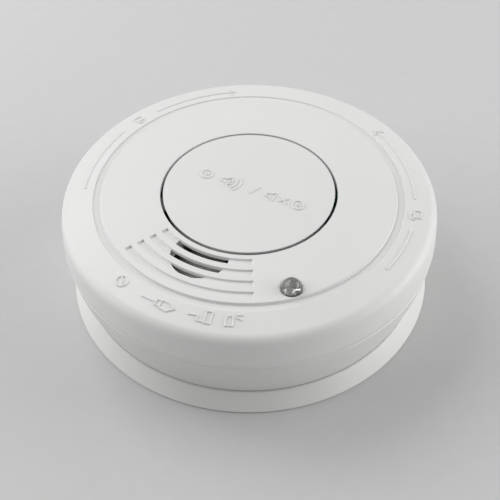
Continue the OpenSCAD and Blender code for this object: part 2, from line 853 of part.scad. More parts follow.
module battery_case() {
    x1 = battery_l / 2 - snap_h - plate_t;
    c = 2;
    // Long block with rounded long edges
    color("darkslategray") intersection() {
        span([-battery_l / 2, -battery_w / 2, z_battery], [x1, battery_w / 2, z_battery + battery_t]);
        union() {
            for (y = [-1, 1]) for (z = [z_battery + c, z_battery + battery_t - c])
                translate([-battery_l / 2, y * (battery_w / 2 - c), z]) rotate([0, 90, 0])
                    cylinder(r = c, h = battery_l);
            span([-battery_l / 2, -battery_w / 2 + c, z_battery], [battery_l / 2, battery_w / 2 - c,
                z_battery + battery_t]);
            span([-battery_l / 2, -battery_w / 2, z_battery + c],
                [battery_l / 2, battery_w / 2, z_battery + battery_t - c]);
        }
    }
}

module battery_plate() {
    x1 = battery_l / 2 - snap_h;
    color("black") span([x1 - plate_t, -battery_w / 2 + 0.8, z_battery + 0.8],
        [x1, battery_w / 2 - 0.8, z_battery + battery_t - 0.8]);
}

module battery_terminals() {
    x0 = battery_l / 2 - snap_h;
    z_mid = z_battery + battery_t / 2;
    color("silver") {
        translate([x0, snap_pitch / 2, z_mid]) rotate([0, 90, 0]) {
            cylinder(r = 2.6, h = snap_h);
            translate([0, 0, snap_h - 1]) cylinder(r = 2.85, h = 0.6);
        }
        translate([x0, -snap_pitch / 2, z_mid]) rotate([0, 90, 0]) difference() {
            cylinder(r = 4.3, h = snap_h, $fn = 8);
            translate([0, 0, 0.4]) cylinder(r = 2.9, h = snap_h);
        }
    }
}

// ---------- battery-missing flag ----------

// Hub, leaning arm and nose in the pivot's own frame: +Y towards the battery, +Z up
module flag_shape() {
    nose = bay_y - battery_w / 2 + 1.95 - 0.6;
    difference() {
        union() {
            translate([-flag_w / 2, 0, 0]) rotate([0, 90, 0]) cylinder(r = flag_hub_r, h = flag_hub_w);
            rotate([flag_lean, 0, 0]) span([-flag_w / 2, -0.9, 0], [-flag_w / 2 + flag_hub_w, 0.9, flag_arm]);
            rotate([flag_lean, 0, 0]) span([-flag_w / 2, -0.9, flag_arm - 2], [flag_w / 2, 0.9, flag_arm]);
            span([-flag_w / 2, -1.4, flag_arm - 1.7], [flag_w / 2, nose, flag_arm - 0.1]);
        }
        translate([-flag_w, 0, 0]) rotate([0, 90, 0]) cylinder(r = flag_pin_r + flag_play, h = 2 * flag_w);
    }
}

module battery_flag() {
    color("firebrick") translate([flag_x, flag_y, flag_z]) flag_shape();
}

module flag_pin() {
    l = 2 * (flag_ear_x + flag_ear);
    color("silver") translate([flag_x - l / 2, flag_y, flag_z]) rotate([0, 90, 0])
        cylinder(r = flag_pin_r, h = l);
}

module flag_spring() {
    x0 = flag_x - flag_w / 2 + flag_hub_w + 0.3;
    l = flag_w - flag_hub_w;
    color("silver") translate([x0, flag_y, flag_z]) rotate([0, 90, 0]) coil(flag_pin_r + 0.5, 0.2,
        l - 0.4, 4, 16);
}

// ---------- label ----------

module rating_label() {
    color("ivory") span([-17, -39, z_back - 0.12], [17, -22, z_back]);
}

mounting_base();
back_housing();
cover();
test_button();
contact_pill();
return_spring();
indicator_led();
led_leads();
circuit_board();
controller_ic();
ic_leads();
capacitors();
resistors();
horn_coil();
test_pads();
battery_contacts();
horn_housing();
horn_cap();
piezo_plate();
piezo_ceramic();
chamber_base();
chamber_cap();
insect_screen();
ir_emitter();
photodiode();
case_screws();
board_screws();
battery_case();
battery_plate();
battery_terminals();
battery_flag();
flag_pin();
flag_spring();
rating_label();
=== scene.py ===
import json
import math

import bpy
from mathutils import Matrix, Vector

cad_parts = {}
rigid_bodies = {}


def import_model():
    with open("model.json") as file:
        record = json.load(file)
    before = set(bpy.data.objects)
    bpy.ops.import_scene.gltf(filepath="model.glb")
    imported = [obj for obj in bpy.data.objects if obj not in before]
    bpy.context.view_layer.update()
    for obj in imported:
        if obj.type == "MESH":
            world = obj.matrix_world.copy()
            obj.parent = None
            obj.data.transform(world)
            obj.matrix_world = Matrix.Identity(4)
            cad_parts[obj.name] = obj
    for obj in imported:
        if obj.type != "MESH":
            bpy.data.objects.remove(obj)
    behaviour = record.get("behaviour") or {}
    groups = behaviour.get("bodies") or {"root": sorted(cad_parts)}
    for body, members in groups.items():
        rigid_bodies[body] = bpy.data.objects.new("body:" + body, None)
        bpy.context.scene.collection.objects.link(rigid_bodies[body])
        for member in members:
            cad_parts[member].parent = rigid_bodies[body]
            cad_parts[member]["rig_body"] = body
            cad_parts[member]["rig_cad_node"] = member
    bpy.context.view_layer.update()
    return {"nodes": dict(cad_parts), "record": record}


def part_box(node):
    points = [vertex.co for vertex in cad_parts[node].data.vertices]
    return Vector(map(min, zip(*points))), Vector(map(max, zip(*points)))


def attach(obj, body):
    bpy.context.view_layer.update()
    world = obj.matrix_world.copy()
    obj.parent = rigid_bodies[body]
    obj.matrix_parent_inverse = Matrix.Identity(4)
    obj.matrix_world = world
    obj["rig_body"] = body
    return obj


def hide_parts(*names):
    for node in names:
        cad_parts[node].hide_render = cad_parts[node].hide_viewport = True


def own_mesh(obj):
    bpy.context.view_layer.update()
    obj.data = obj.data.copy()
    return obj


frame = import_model()

MM = 0.001

# ---------------------------------------------------------------- sizes, in mm

NODES = frame["nodes"]
BODY_OF = {node: body for body, nodes in frame["record"]["behaviour"]["bodies"].items() for node in nodes}
SLOT_OF = {part["node"]: part["material_slot"] for part in frame["record"]["subparts"]}


def low(node):
    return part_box(node)[0] / MM


def high(node):
    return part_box(node)[1] / MM


# Levels and radii of the head: its rounded rim, its widest part, its foot at the parting line
COVER_R = 50.5
WIDE_R = high("cover").x
FOOT_R = WIDE_R - 0.4
Z_TOP = high("cover").z
Z_PART = 19.0
Z_WIDE = Z_PART + 1.7
Z_UNDER = Z_TOP - 1.8
Z_RIM = Z_TOP - 1.1
EDGE_R = 2.9
SIDE_WALL = 1.8
INNER_R = COVER_R - SIDE_WALL
TURN_STEPS = 360
TURN_START = 0.3
PLATEAU_R = COVER_R - 10.7
CHANNEL_R = PLATEAU_R + 2.2
CHANNEL_Z = Z_TOP - 0.7
BAND_Z = Z_TOP - 0.4
BAND_MID_R = CHANNEL_R + 2.6
BAND_SLOPE = math.atan2(BAND_Z - Z_RIM, COVER_R - EDGE_R - CHANNEL_R)

# Sound vents
VENT_R = 25.4
VENT_PITCH = 3.6
VENT_W = 1.85
VENT_DEPTH = 0.5
VENT_RIB = 1.1
VENT_COUNT = 4
VENT_FROM = -146.7
VENT_TO = -88.7
HORN = (low("horn_housing") + high("horn_housing")) / 2
HORN_MOUTH_R = 7.6
COLLAR_WALL = 1.3

# Test button
BUTTON_R = 23.2
HOLE_R = BUTTON_R + 0.75
SKIRT_R = BUTTON_R - 0.5
SKIRT_WALL = 1.1
SKIRT_DEPTH = 1.2
Z_BUTTON = Z_TOP + 0.1
Z_SKIRT = Z_BUTTON - 2.8
POST_R = 3.0
HOOK_ANGLES = (62, 182, 302)
HOOK_WIDTH = 4.8
BARB_HEIGHT = 1.1

# Indicator LED
LED = (low("indicator_led") + high("indicator_led")) / 2
LED_R = 2.5
LED_TIP = high("indicator_led").z
LED_FOOT = low("indicator_led").z
LEG_PITCH = 2.54
FLARE_R = 0.65

# Case screws and the board
BOSS_ANGLES = (45, 135, 225, 315)
BOSS_DIST = COVER_R - 10.5
BOSS_R = 3.4
PILOT_R = 1.4
Z_BOSS = low("cover").z
SCREW_TIP = high("case_screws").z
Z_BOARD_TOP = high("circuit_board").z
Z_HORN_TOP = high("horn_cap").z

# Raised signs: round strokes, sunk to just below their middle line
STROKE_R = 0.26
SIGN_RISE = 0.03


# ---------------------------------------------------------------- modelling

def nothing_selected():
    """Object mode, with nothing selected."""
    if bpy.context.object and bpy.context.object.mode != "OBJECT":
        bpy.ops.object.mode_set(mode="OBJECT")
    bpy.ops.object.select_all(action="DESELECT")


def only(piece):
    nothing_selected()
    piece.select_set(True)
    bpy.context.view_layer.objects.active = piece
    return piece


def editing(piece, mode="VERT"):
    only(piece)
    bpy.ops.object.mode_set(mode="EDIT")
    bpy.ops.mesh.select_mode(type=mode)


def done():
    bpy.ops.object.mode_set(mode="OBJECT")
    bpy.ops.object.transform_apply(location=True, rotation=True, scale=True)
    return bpy.context.object


def rounded(corners, steps=6):
    """An outline from corners (r, z, radius of the rounding), with each rounding as an arc."""
    outline = []
    for i, (r, z, radius) in enumerate(corners):
        if not radius:
            outline.append((r, z))
            continue
        here = Vector((r, z))
        back = (Vector(corners[i - 1][:2]) - here).normalized()
        ahead = (Vector(corners[(i + 1) % len(corners)][:2]) - here).normalized()
        half = back.angle(ahead) / 2
        centre = here + (back + ahead).normalized() * radius / math.sin(half)
        start = here + back * radius / math.tan(half) - centre
        end = here + ahead * radius / math.tan(half) - centre
        turn = start.angle_signed(end)
        for k in range(steps + 1):
            a = -turn * k / steps
            spoke = Vector((start.x * math.cos(a) - start.y * math.sin(a),
                            start.x * math.sin(a) + start.y * math.cos(a)))
            outline.append(tuple(centre + spoke))
    return outline


def turned(name, outline, at=(0, 0), steps=96, turn=0.0, closed=True):
    """A turned piece: a circle at the outline's first point, extruded and resized to each next one.
    An open outline leaves a ring at each end, which is capped across the axis."""
    nothing_selected()
    loop = list(outline) + ([outline[0]] if closed else [])
    (r, z), middle = loop[0], (at[0] * MM, at[1] * MM)
    bpy.ops.mesh.primitive_circle_add(vertices=steps, radius=r * MM, location=(*middle, z * MM),
                                      rotation=(0, 0, math.radians(turn)))
    piece = bpy.context.object
    piece.name = name
    bpy.ops.object.mode_set(mode="EDIT")
    for (r0, z0), (r1, z1) in zip(loop, loop[1:]):
        bpy.ops.mesh.extrude_region_move(TRANSFORM_OT_translate={"value": (0, 0, (z1 - z0) * MM)})
        bpy.ops.transform.resize(value=(r1 / r0, r1 / r0, 1), center_override=(*middle, z1 * MM))
    bpy.ops.mesh.select_all(action="SELECT")
    bpy.ops.mesh.remove_doubles(threshold=1e-7)
    if not closed:
        bpy.ops.mesh.select_mode(type="EDGE")
        bpy.ops.mesh.select_all(action="DESELECT")
        bpy.ops.mesh.select_non_manifold()
        bpy.ops.mesh.fill_holes(sides=0)
    bpy.ops.mesh.select_all(action="SELECT")
    bpy.ops.mesh.normals_make_consistent(inside=False)
    return done()


def disc(name, outline, **places):
    """A turned piece that is solid to its axis."""
    return turned(name, outline, closed=False, **places)


def block(name, size, at, turn=0.0, edge=0.0):
    """A block with rounded edges, turned about +Z round the object's middle."""
    nothing_selected()
    bpy.ops.mesh.primitive_cube_add(size=1, location=Vector(at) * MM)
    piece = bpy.context.object
    piece.name = name
    piece.scale = Vector(size) * MM
    bpy.ops.object.transform_apply(location=True, rotation=True, scale=True)
    if edge:
        bpy.ops.object.mode_set(mode="EDIT")
        bpy.ops.mesh.bevel(offset=edge * MM, segments=2, affect="EDGES")
        bpy.ops.object.mode_set(mode="OBJECT")
    piece.rotation_euler.z = math.radians(turn)
    return done()


def boolean(piece, tool, operation):
    only(piece)
    step = piece.modifiers.new("join", "BOOLEAN")
    step.object = tool
    step.operation = operation
    step.solver = "MANIFOLD"
    bpy.ops.object.modifier_apply(modifier=step.name)
    bpy.data.objects.remove(tool)
    return piece


def cut(piece, *tools):
    for tool in tools:
        boolean(piece, tool, "DIFFERENCE")
    return piece


def fused(piece, *parts):
    for part in parts:
        boolean(piece, part, "UNION")
    return piece


def soften(piece, width, angle=35):
    """A small rounding on every edge sharper than the angle."""
    only(piece)
    step = piece.modifiers.new("rounding", "BEVEL")
    step.width = width * MM
    step.segments = 2
    step.limit_method = "ANGLE"
    step.angle_limit = math.radians(angle)
    step.use_clamp_overlap = True
    bpy.ops.object.modifier_apply(modifier=step.name)


def smooth(piece, angle=32):
    only(piece)
    bpy.ops.object.shade_smooth_by_angle(angle=math.radians(angle))
    for step in list(piece.modifiers):
        bpy.ops.object.modifier_apply(modifier=step.name)
    return piece


def weighted(piece):
    """Normals that follow the large faces, so that flats stay flat beside small roundings."""
    only(piece)
    step = piece.modifiers.new("weighted", "WEIGHTED_NORMAL")
    step.keep_sharp = True
    bpy.ops.object.modifier_apply(modifier=step.name)
    return piece


def joined(name, parts):
    nothing_selected()
    for part in parts:
        part.select_set(True)
    bpy.context.view_layer.objects.active = parts[0]
    bpy.ops.object.join()
    bpy.context.object.name = name
    return bpy.context.object


# ---------------------------------------------------------------- materials

def linear(colour):
    """An sRGB hex colour as linear RGBA."""
    shares = [int(colour[i:i + 2], 16) / 255 for i in (1, 3, 5)]
    return tuple(s / 12.92 if s <= 0.04045 else ((s + 0.055) / 1.055) ** 2.4 for s in shares) + (1.0,)


def add(material, kind, inputs=None, feeds=(), **settings):
    """Adds a node: its settings, its inputs (a socket to link, or a value), and the sockets it
    feeds."""
    tree = material.node_tree
    node = tree.nodes.new(kind)
    for key, value in settings.items():
        setattr(node, key, value)
    for socket, value in (inputs or {}).items():
        if isinstance(value, bpy.types.NodeSocket):
            tree.links.new(value, node.inputs[socket])
        else:
            node.inputs[socket].default_value = value
    output = next(out for out in node.outputs if out.enabled) if node.outputs else None
    for shader, socket in feeds:
        tree.links.new(output, shader.inputs[socket])
    return output


def new_material(name, **sockets):
    """A material with one shader, whose constant sockets are set directly. Gives the shader and the
    place."""
    material = bpy.data.materials.new(name)
    material.use_nodes = True
    tree = material.node_tree
    shader = tree.nodes["Principled BSDF"]
    for socket, value in sockets.items():
        shader.inputs[socket.replace("_", " ")].default_value = value
    place = tree.nodes.new("ShaderNodeTexCoord").outputs["Object"]
    return material, shader, place


def moulded_plastic(name, colour, cloud_colour, roughness, skin=0.35, relief=0.012, cloud=20):
    """Injection-moulded plastic. The tool's spark-eroded skin is an even grain, and the flow a faint
    cloud; skin, relief and cloud are in mm. The grain is drawn several times coarser than the real
    0.05 mm, so that it shows."""
    material, shader, place = new_material(name, IOR=1.54)
    flow = add(material, "ShaderNodeTexNoise", {"Vector": place, "Scale": 1 / (cloud * MM), "Detail": 3.0})
    grain = add(material, "ShaderNodeTexNoise", {"Vector": place, "Scale": 1 / (skin * MM), "Detail": 2.0})
    add(material, "ShaderNodeMix", {0: flow, 6: linear(cloud_colour), 7: linear(colour)},
        [(shader, "Base Color")], data_type="RGBA")
    add(material, "ShaderNodeMapRange", {"Value": grain, "From Min": 0.3, "From Max": 0.7,
                                         "To Min": roughness - 0.05, "To Max": roughness + 0.06},
        [(shader, "Roughness")])
    add(material, "ShaderNodeBump", {"Height": grain, "Distance": relief * MM}, [(shader, "Normal")])
    return material


def worked_metal(name, colour, film_colour, roughness, lay=2):
    """Drawn, rolled or plated metal: fine streaks along its lay, which is an axis, and an uneven film
    that dulls it a little."""
    material, shader, place = new_material(name, Metallic=1.0)
    streak, film_patch, relief = 0.12, 3, 0.004
    stretch = [1.0, 1.0, 1.0]
    stretch[lay] = 0.08
    along = add(material, "ShaderNodeMapping", {"Vector": place, "Scale": stretch})
    streaks = add(material, "ShaderNodeTexNoise",
                  {"Vector": along, "Scale": 1 / (streak * MM), "Detail": 3.0})
    film = add(material, "ShaderNodeTexNoise",
               {"Vector": place, "Scale": 1 / (film_patch * MM), "Detail": 3.0})
    add(material, "ShaderNodeMix", {0: film, 6: linear(film_colour), 7: linear(colour)},
        [(shader, "Base Color")], data_type="RGBA")
    add(material, "ShaderNodeMapRange", {"Value": streaks, "From Min": 0.3, "From Max": 0.7,
                                         "To Min": roughness - 0.06, "To Max": roughness + 0.08},
        [(shader, "Roughness")])
    add(material, "ShaderNodeBump", {"Height": streaks, "Distance": relief * MM}, [(shader, "Normal")])
    return material


def cast_epoxy(name, colour, clearness):
    """Cast epoxy, as an LED's body: glossy and clear, with a faint tint and slow waves from the
    mould."""
    roughness = 0.04
    material, shader, place = new_material(name, IOR=1.55, Transmission_Weight=clearness)
    shader.inputs["Base Color"].default_value = linear(colour)
    waves = add(material, "ShaderNodeTexNoise", {"Vector": place, "Scale": 1 / (2.5 * MM), "Detail": 1.0})
    add(material, "ShaderNodeMapRange", {"Value": waves, "To Min": roughness, "To Max": roughness + 0.05},
        [(shader, "Roughness")])
    add(material, "ShaderNodeBump", {"Height": waves, "Distance": 0.01 * MM}, [(shader, "Normal")])
    return material


def resist_on_copper(name):
    """Solder resist over etched copper on glass-epoxy: tracks stand up a little, and look lighter."""
    material, shader, place = new_material(name, IOR=1.5, Coat_Weight=0.4, Coat_Roughness=0.15)
    tracks = add(material, "ShaderNodeTexBrick",
                 {"Vector": place, "Scale": 1 / (9 * MM), "Mortar Size": 0.045, "Mortar Smooth": 0.2,
                  "Color1": linear("#12522C"), "Color2": linear("#14572F"), "Mortar": linear("#1F7A45")},
                 [(shader, "Base Color")])
    weave = add(material, "ShaderNodeTexNoise", {"Vector": place, "Scale": 1 / (0.5 * MM), "Detail": 2.0})
    add(material, "ShaderNodeMapRange", {"Value": weave, "To Min": 0.26, "To Max": 0.46},
        [(shader, "Roughness")])
    add(material, "ShaderNodeBump", {"Height": tracks, "Distance": 0.04 * MM}, [(shader, "Normal")])
    return material


def printed_jacket(name):
    """Lacquered steel jacket of a battery: a dark field, and one plain copper-coloured band at its
    terminals."""
    material, shader, place = new_material(name, Metallic=0.4, Coat_Weight=0.6, Coat_Roughness=0.12)
    band_start = high("battery_case").x - 12
    x = add(material, "ShaderNodeSeparateXYZ", {"Vector": place})
    band = add(material, "ShaderNodeMath", {0: x, 1: band_start * MM}, operation="GREATER_THAN")
    rolled = add(material, "ShaderNodeTexNoise", {"Vector": place, "Scale": 1 / (0.4 * MM), "Detail": 3.0})
    add(material, "ShaderNodeMix", {0: band, 6: linear("#1B2A33"), 7: linear("#A8682F")},
        [(shader, "Base Color")], data_type="RGBA")
    add(material, "ShaderNodeMapRange", {"Value": rolled, "To Min": 0.2, "To Max": 0.38},
        [(shader, "Roughness")])
    add(material, "ShaderNodeBump", {"Height": rolled, "Distance": 0.004 * MM}, [(shader, "Normal")])
    return material


def ruled_paper(name):
    """Coated label paper: plain printed rules across it, and a fine fibre."""
    material, shader, place = new_material(name, IOR=1.45)
    rule_pitch, wave_at_scale_one = 3, 0.314
    axes = add(material, "ShaderNodeMapping", {"Vector": place, "Rotation": (0, 0, math.pi / 2)})
    rules = add(material, "ShaderNodeTexWave",
                {"Vector": axes, "Scale": wave_at_scale_one / (rule_pitch * MM)})
    ink = add(material, "ShaderNodeMath", {0: rules, 1: 0.97}, operation="GREATER_THAN")
    fibre = add(material, "ShaderNodeTexNoise", {"Vector": place, "Scale": 1 / (0.3 * MM), "Detail": 4.0})
    add(material, "ShaderNodeMix", {0: ink, 6: linear("#E6E4DC"), 7: linear("#8A8D8E")},
        [(shader, "Base Color")], data_type="RGBA")
    add(material, "ShaderNodeMapRange", {"Value": fibre, "To Min": 0.45, "To Max": 0.65},
        [(shader, "Roughness")])
    add(material, "ShaderNodeBump", {"Height": fibre, "Distance": 0.01 * MM}, [(shader, "Normal")])
    return material


MATERIALS = {
    # White ABS from a finely spark-eroded tool: an even satin that spreads highlights softly
    "base_plastic": moulded_plastic("white_abs_moulded_base", "#E4E4E2", "#DCDCDA", 0.46),
    "housing_plastic": moulded_plastic("white_abs_moulded_housing", "#E4E4E2", "#DCDCDA", 0.46),
    "cover_plastic": moulded_plastic("white_abs_moulded_cover", "#E6E6E5", "#E0E0DF", 0.42),
    "button_plastic": moulded_plastic("white_abs_moulded_button", "#E5E5E4", "#DFDFDE", 0.42),
    # Clear epoxy: bright rims and dark refractions of what stands round it
    "led_lens": cast_epoxy("clear_epoxy_cast", "#F6F6F4", 0.86),
    # Black ABS of the sounder and the smoke chamber: dull, so that it throws back no light
    "black_plastic": moulded_plastic("black_abs_moulded", "#141414", "#0E0E0E", 0.62,
        skin=0.5, relief=0.02),
    # Carbon-filled silicone: soft, dull and slightly dusty
    "conductive_rubber": moulded_plastic("carbon_silicone_moulded", "#1F1F20", "#141415", 0.78, skin=0.6),
    # Drawn spring wire: bright, with fine lines along it
    "spring_steel": worked_metal("spring_steel_drawn", "#B9B9B6", "#A3A3A0", 0.28),
    # Rolled brass under tin: a soft grey shine with streaks along the strip
    "tinned_metal": worked_metal("tinned_brass_rolled", "#D2D2CE", "#BEBEBA", 0.26, lay=0),
    # Zinc plate on steel: a cool grey with a slightly cloudy film
    "screw_steel": worked_metal("zinc_plated_steel", "#C3C6C8", "#A9ADB0", 0.3),
    # Green resist over etched tracks: lighter lines under a thin gloss
    "board_laminate": resist_on_copper("solder_resist_on_glass_epoxy"),
    # Gold plate on copper: a warm, fairly bright yellow
    "gold_pads": worked_metal("gold_plated_copper", "#E3BC6A", "#D2A654", 0.3, lay=0),
    # Transfer-moulded epoxy: a dry black with a gritty grain
    "chip_epoxy": moulded_plastic("black_epoxy_transfer_moulded", "#1C1C1D", "#121213", 0.55, skin=0.25,
                                  relief=0.02),
    # Shrunk PVC sleeve: smooth and shiny, with slow ripples
    "capacitor_sleeve": moulded_plastic("pvc_sleeve_shrunk", "#1C2440", "#141A30", 0.3, skin=1.2,
                                        relief=0.03),
    # Sintered ferrite: a dark grey ceramic with a rough grain
    "ferrite": moulded_plastic("ferrite_sintered", "#2C2C2C", "#1D1D1D", 0.6,
        skin=0.2, relief=0.03),
    # Rolled brass: yellow, with the mill's fine lines
    "brass_plate": worked_metal("brass_rolled", "#C8A25C", "#B48E4C", 0.3, lay=0),
    # Fired silver paste on ceramic: a pale warm grey, matt and slightly streaked
    "piezo_silver": moulded_plastic("piezo_ceramic_silvered", "#BCB9B1", "#A3A098", 0.4, skin=0.4, cloud=4),
    # Etched stainless sheet: a dull grey with faint rolling lines
    "screen_steel": worked_metal("stainless_steel_etched", "#A8A8A6", "#939391", 0.38),
    # Blue-tinted epoxy of the infrared emitter: clear and glossy
    "emitter_epoxy": cast_epoxy("blue_tinted_epoxy_cast", "#8FA6C8", 0.8),
    # Epoxy dyed to pass only infrared: almost black, and glossy
    "detector_epoxy": moulded_plastic("black_filter_epoxy_cast", "#170F1A", "#0E0911", 0.12, skin=1.5,
                                      relief=0.004),
    # Printed and lacquered steel: a dark field and a copper band under a shine
    "battery_jacket": printed_jacket("lacquered_steel_printed"),
    # Red ABS from a polished tool: clean and shinier than the case
    "flag_plastic": moulded_plastic("red_abs_moulded", "#B5171C", "#A01116", 0.3),
    # Printed label paper: a matt off-white with pale grey rules
    "label_paper": ruled_paper("label_paper_printed"),
}


def finished(piece, node):
    """Gives a piece the place of a CAD node: its body, its slot and its material."""
    piece.data.materials.clear()
    piece.data.materials.append(MATERIALS[SLOT_OF[node]])
    for face in piece.data.polygons:
        face.material_index = 0
    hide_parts(node)
    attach(piece, BODY_OF[node])
    return piece


# ---------------------------------------------------------------- raised signs

def tube(points, closed=False, radius=STROKE_R):
    """A round stroke along points, as a mesh with closed ends."""
    nothing_selected()
    bpy.ops.curve.primitive_nurbs_path_add()
    stroke = bpy.context.object
    stroke.data.splines.clear()
    spline = stroke.data.splines.new("POLY")
    spline.points.add(len(points) - 1)
    for dot, place in zip(spline.points, points):
        dot.co = (*(Vector(place).to_3d() * MM), 1)
    spline.use_cyclic_u = closed
    stroke.data.dimensions = "3D"
    stroke.data.bevel_depth = radius * MM
    stroke.data.bevel_resolution = 2
    stroke.data.use_fill_caps = True
    bpy.ops.object.convert(target="MESH")
    bpy.ops.object.mode_set(mode="EDIT")
    bpy.ops.mesh.select_all(action="SELECT")
    bpy.ops.mesh.remove_doubles(threshold=1e-7)
    bpy.ops.mesh.normals_make_consistent(inside=False)
    return done()


def bow(r, start, end, x=0.0, y=0.0):
    """Points along an arc."""
    count = max(4, int(abs(end - start) * r / 25) + 3)
    angles = [math.radians(start + (end - start) * i / count) for i in range(count + 1)]
    return [(x + r * math.cos(a), y + r * math.sin(a)) for a in angles]


def ring(r):
    return bow(r, 0, 360)[:-1], True


def shifted(strokes, dx):
    return [([(x + dx, y) for x, y in points], closed) for points, closed in strokes]


# Each sign is a list of strokes, drawn flat: the points, and whether the stroke closes on itself.
PRESS = [ring(1.6), ring(0.4)]
HORN_BOX = [([(-0.5, -0.6), (0.5, -0.6), (1.9, -1.6), (1.9, 1.6), (0.5, 0.6), (-0.5, 0.6)], True)]
WAVES = [(bow(r, -42, 42), False) for r in (1.6, 2.8, 4.0)]
CROSS = [([(-1.1, -1.1), (1.1, 1.1)], False), ([(-1.1, 1.1), (1.1, -1.1)], False)]
SLASH = [([(0.2, -1.7), (1.6, 1.7)], False)]
FORBIDDEN = [ring(1.3), ([(-0.9, 0.9), (0.9, -0.9)], False)]
BRUSH = [([(-4.0, 0), (-0.6, 0)], False), ([(-0.5, -0.7), (0.6, -0.7), (0.6, 0.7), (-0.5, 0.7)], True),
         ([(0.6, -0.9), (2.5, -1.1), (3.8, 0.1), (2.5, 0.9), (0.6, 0.9)], True)]
ROLLER = [([(-2.6, 0), (-0.6, 0), (-0.6, -1.2), (0.8, -1.2)], False),
          ([(0.9, -1.4), (2.2, -1.4), (2.2, 1.4), (0.9, 1.4)], True)]
SPRAY = [([(-1.1, -1.4), (0.4, -1.4), (0.4, 0.5), (0.0, 0.9), (-0.7, 0.9), (-1.1, 0.5)], True),
         ([(-0.35, 0.9), (-0.35, 1.4)], False),
         ([(1.0, 0.6), (2.2, 0.1)], False), ([(1.0, 1.2), (2.2, 1.3)], False)]
HEAD = [([(-1.4, 1.3), (0, 0), (-1.4, -1.3)], False)]
BACK_HEAD = [([(1.4, 1.3), (0, 0), (1.4, -1.3)], False)]


def lock(shackle_x):
    """A padlock, closed with its shackle at 0, or open with it set aside."""
    return [([(-1.1, -1.4), (1.1, -1.4), (1.1, 0.1), (-1.1, 0.1)], True),
            (bow(0.9, 180 if shackle_x == 0 else 200, 0, shackle_x, 0.2), False)]


BAND_SIGNS = [(FORBIDDEN, -135.2), (BRUSH, -120), (ROLLER, -105.5), (SPRAY, -96), (lock(-0.9), -12.5),
              (HEAD, 34), (BACK_HEAD, 94), (lock(0), 135)]
BAND_ARCS = [(-40.6, -20), (-5, 33.5), (94.5, 127), (144, 177)]
BAND_SIGN_SIZE = 1.2
BUTTON_SIGN_TURN = -28
BUTTON_SIGNS = [(PRESS, -13.8), (HORN_BOX, -8.6), (WAVES, -7.6), (SLASH, 0), (HORN_BOX, 5), (CROSS, 9.6),
                (PRESS, 13.8)]


def laid(strokes, place, size=1.0):
    """The strokes as tubes, half sunk in the surface at a place."""
    parts = []
    for points, closed in strokes:
        part = tube([(x * size, y * size) for x, y in points], closed)
        part.matrix_world = place
        parts.append(done())
    return parts


def band_signs():
    """The signs that stand on the sloping band, their tops towards the middle."""
    z = (BAND_Z - (BAND_MID_R - CHANNEL_R) * math.tan(BAND_SLOPE) + SIGN_RISE) * MM
    on_slope = Matrix.Translation((0, -BAND_MID_R * MM, z)) @ Matrix.Rotation(BAND_SLOPE, 4, "X")
    parts = []
    for strokes, angle in BAND_SIGNS:
        parts += laid(strokes, Matrix.Rotation(math.radians(angle + 90), 4, "Z") @ on_slope, BAND_SIGN_SIZE)
    for start, end in BAND_ARCS:
        parts += laid([(bow(BAND_MID_R, start, end), False)], Matrix.Translation((0, 0, z)))
    return parts


def button_signs():
    place = (Matrix.Translation((0.8 * MM, 0.1 * MM, (Z_BUTTON + SIGN_RISE) * MM))
             @ Matrix.Rotation(math.radians(BUTTON_SIGN_TURN), 4, "Z"))
    return [part for strokes, x in BUTTON_SIGNS for part in laid(shifted(strokes, x), place)]


# ---------------------------------------------------------------- cover

def pick(piece, kind, keep):
    """Enters edit mode with only the kept faces or edges selected."""
    editing(piece, kind)
    bpy.ops.mesh.select_all(action="DESELECT")
    bpy.ops.object.mode_set(mode="OBJECT")
    (piece.data.polygons if kind == "FACE" else piece.data.edges).foreach_set("select", keep)
    bpy.ops.object.mode_set(mode="EDIT")


def pick_faces(piece, test):
    """Selects the faces whose middle, in mm, passes the test."""
    pick(piece, "FACE", [test(face.center / MM) for face in piece.data.polygons])


def pick_edges(piece, test):
    """Selects the edges whose two ends, in mm, pass the test."""
    points = [v.co / MM for v in piece.data.vertices]
    pick(piece, "EDGE", [test(points[e.vertices[0]], points[e.vertices[1]]) for e in piece.data.edges])


def polar(p):
    return math.hypot(p.x, p.y), math.degrees(math.atan2(p.y, p.x))


def cover_outline():
    """The cover's section: up its side, over the rim and inwards, down the button's hole, and back
    inside."""
    z_step = Z_UNDER - 1.2
    side = [(FOOT_R - SIDE_WALL, Z_PART, 0.2), (FOOT_R, Z_PART, 0.07), (WIDE_R, Z_WIDE, 3),
            (COVER_R, Z_RIM - 0.35, EDGE_R)]
    channel = [(CHANNEL_R, BAND_Z, 0.12), (CHANNEL_R - 0.1, CHANNEL_Z, 0.15),
               (PLATEAU_R + 0.1, CHANNEL_Z, 0.15), (PLATEAU_R, Z_TOP, 0.2)]
    grooves = [(VENT_R + VENT_PITCH * i + w, Z_TOP, 0)
               for i in reversed(range(VENT_COUNT)) for w in (VENT_W, 0)]
    hole = [(HOLE_R, Z_TOP, 0.15), (HOLE_R, Z_UNDER, 0.15)]
    inside = [(PLATEAU_R - 1.4, Z_UNDER, 0), (PLATEAU_R - 0.6, z_step, 0), (CHANNEL_R + 1, z_step, 0),
              (INNER_R - 2.1, Z_RIM - SIDE_WALL, 0.8), (INNER_R - 0.1, Z_RIM - EDGE_R - 0.4, 0.8)]
    return rounded(side + channel + grooves + hole + inside)


